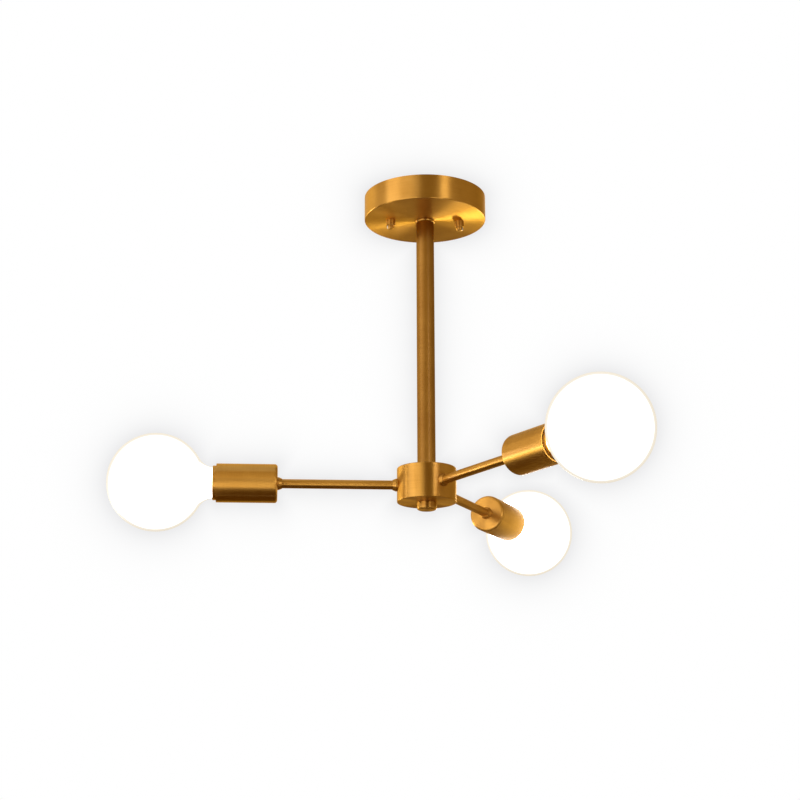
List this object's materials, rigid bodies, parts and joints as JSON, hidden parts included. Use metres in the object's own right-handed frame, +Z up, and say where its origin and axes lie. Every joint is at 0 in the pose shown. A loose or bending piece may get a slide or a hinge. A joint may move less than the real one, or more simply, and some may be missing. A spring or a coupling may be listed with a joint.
{
  "type": "semi flush ceiling light",
  "caption": "Semi flush ceiling light with a round brushed brass canopy, a down rod and a drum hub whose level arms carry bare opal globe bulbs in brass socket cups.",
  "frame": {"origin": "on the ceiling plane, on the axis of the down rod, midway between the two ceiling screw slots", "axes": "+Z up into the ceiling; the left arm lies along -X; the front arm points towards +X and -Y and the back arm towards +X and +Y"},
  "size_m": [0.488, 0.5488, 0.3485],
  "materials": {
    "brushed_brass": "satin brushed",
    "zinc_plated_steel": "zinc plated",
    "green_earth_screw": "satin",
    "white_terminal_plastic": "matte",
    "white_lead_sheath": "matte",
    "black_phenolic": "semi gloss",
    "bare_contact_brass": "stamped",
    "opal_glass": "opal, lit warm white",
    "aluminium_screw_cap": "rolled",
    "black_cap_glass": "gloss",
    "solder_tip": "cast solder"
  },
  "bodies": {
    "fixture": {"arm_lead_back": "white_lead_sheath", "arm_lead_front": "white_lead_sheath", "arm_lead_left": "white_lead_sheath", "arm_locknuts": "zinc_plated_steel", "arm_tube_back": "brushed_brass", "arm_tube_front": "brushed_brass", "arm_tube_left": "brushed_brass", "canopy": "brushed_brass", "centre_contact_back": "bare_contact_brass", "centre_contact_front": "bare_contact_brass", "centre_contact_left": "bare_contact_brass", "crossbar": "zinc_plated_steel", "cup_collar_back": "brushed_brass", "cup_collar_front": "brushed_brass", "cup_collar_left": "brushed_brass", "down_rod": "brushed_brass", "ground_screw": "green_earth_screw", "hub_body": "brushed_brass", "hub_collar_back": "brushed_brass", "hub_collar_front": "brushed_brass", "hub_collar_left": "brushed_brass", "hub_nipple": "zinc_plated_steel", "lampholder_back": "black_phenolic", "lampholder_front": "black_phenolic", "lampholder_left": "black_phenolic", "main_lead": "white_lead_sheath", "mounting_studs": "zinc_plated_steel", "rod_collar": "brushed_brass", "rod_locknuts": "zinc_plated_steel", "rod_nipple": "zinc_plated_steel", "screw_shell_back": "bare_contact_brass", "screw_shell_front": "bare_contact_brass", "screw_shell_left": "bare_contact_brass", "socket_cup_back": "brushed_brass", "socket_cup_front": "brushed_brass", "socket_cup_left": "brushed_brass", "socket_ring_back": "brushed_brass", "socket_ring_front": "brushed_brass", "socket_ring_left": "brushed_brass", "splice_block": "white_terminal_plastic", "stud_locknuts": "zinc_plated_steel", "terminal_block": "white_terminal_plastic"},
    "finial": {"finial": "brushed_brass"},
    "hub_cover": {"hub_cover": "brushed_brass"},
    "canopy_barrel_left": {"canopy_barrel_left": "brushed_brass"},
    "canopy_cap_nut_left": {"canopy_cap_nut_left": "brushed_brass"},
    "canopy_barrel_right": {"canopy_barrel_right": "brushed_brass"},
    "canopy_cap_nut_right": {"canopy_cap_nut_right": "brushed_brass"},
    "bulb_travel_left": {"bulb_tip_left": "solder_tip"},
    "bulb_left": {"bulb_globe_left": "opal_glass", "bulb_cap_left": "aluminium_screw_cap", "bulb_insulator_left": "black_cap_glass"},
    "bulb_travel_front": {"bulb_tip_front": "solder_tip"},
    "bulb_front": {"bulb_globe_front": "opal_glass", "bulb_cap_front": "aluminium_screw_cap", "bulb_insulator_front": "black_cap_glass"},
    "bulb_travel_back": {"bulb_tip_back": "solder_tip"},
    "bulb_back": {"bulb_globe_back": "opal_glass", "bulb_cap_back": "aluminium_screw_cap", "bulb_insulator_back": "black_cap_glass"}
  },
  "joints": [
    {"name": "bulb_left_travel", "type": "slide", "parent": "fixture", "child": "bulb_travel_left", "axis": [-1, 0, 0], "range_m": [0, 0.01997]},
    {"name": "bulb_left_turn", "type": "hinge", "parent": "bulb_travel_left", "child": "bulb_left", "pos_m": [-0.262, 0, -0.301], "axis": [-1, 0, 0], "range_deg": [0, 1980]},
    {"name": "bulb_front_travel", "type": "slide", "parent": "fixture", "child": "bulb_travel_front", "axis": [0.5, -0.866, 0], "range_m": [0, 0.01997]},
    {"name": "bulb_front_turn", "type": "hinge", "parent": "bulb_travel_front", "child": "bulb_front", "pos_m": [0.131, -0.2269, -0.301], "axis": [0.5, -0.866, 0], "range_deg": [0, 1980]},
    {"name": "bulb_back_travel", "type": "slide", "parent": "fixture", "child": "bulb_travel_back", "axis": [0.5, 0.866, 0], "range_m": [0, 0.01997]},
    {"name": "bulb_back_turn", "type": "hinge", "parent": "bulb_travel_back", "child": "bulb_back", "pos_m": [0.131, 0.2269, -0.301], "axis": [0.5, 0.866, 0], "range_deg": [0, 1980]},
    {"name": "hub_cover_drop", "type": "slide", "parent": "fixture", "child": "hub_cover", "axis": [0, 0, -1], "range_m": [0, 0.0045]},
    {"name": "finial_turn", "type": "hinge", "parent": "hub_cover", "child": "finial", "pos_m": [0, 0, -0.3215], "axis": [0, 0, -1], "range_deg": [0, 1621]},
    {"name": "canopy_barrel_left_drop", "type": "slide", "parent": "fixture", "child": "canopy_barrel_left", "axis": [0, 0, -1], "range_m": [0, 0.0028]},
    {"name": "canopy_cap_nut_left_turn", "type": "hinge", "parent": "canopy_barrel_left", "child": "canopy_cap_nut_left", "pos_m": [-0.035, 0, -0.033], "axis": [0, 0, -1], "range_deg": [0, 1441]},
    {"name": "canopy_barrel_right_drop", "type": "slide", "parent": "fixture", "child": "canopy_barrel_right", "axis": [0, 0, -1], "range_m": [0, 0.0028]},
    {"name": "canopy_cap_nut_right_turn", "type": "hinge", "parent": "canopy_barrel_right", "child": "canopy_cap_nut_right", "pos_m": [0.035, 0, -0.033], "axis": [0, 0, -1], "range_deg": [0, 1441]}
  ],
  "couplings": [
    {"joint": "bulb_left_travel", "follows": "bulb_left_turn", "m_per_rad": 0.00057757},
    {"joint": "bulb_front_travel", "follows": "bulb_front_turn", "m_per_rad": 0.00057757},
    {"joint": "bulb_back_travel", "follows": "bulb_back_turn", "m_per_rad": 0.00057757},
    {"joint": "finial_turn", "follows": "hub_cover_drop", "rad_per_m": 6283.2},
    {"joint": "canopy_cap_nut_left_turn", "follows": "canopy_barrel_left_drop", "rad_per_m": 8976},
    {"joint": "canopy_cap_nut_right_turn", "follows": "canopy_barrel_right_drop", "rad_per_m": 8976}
  ]
}
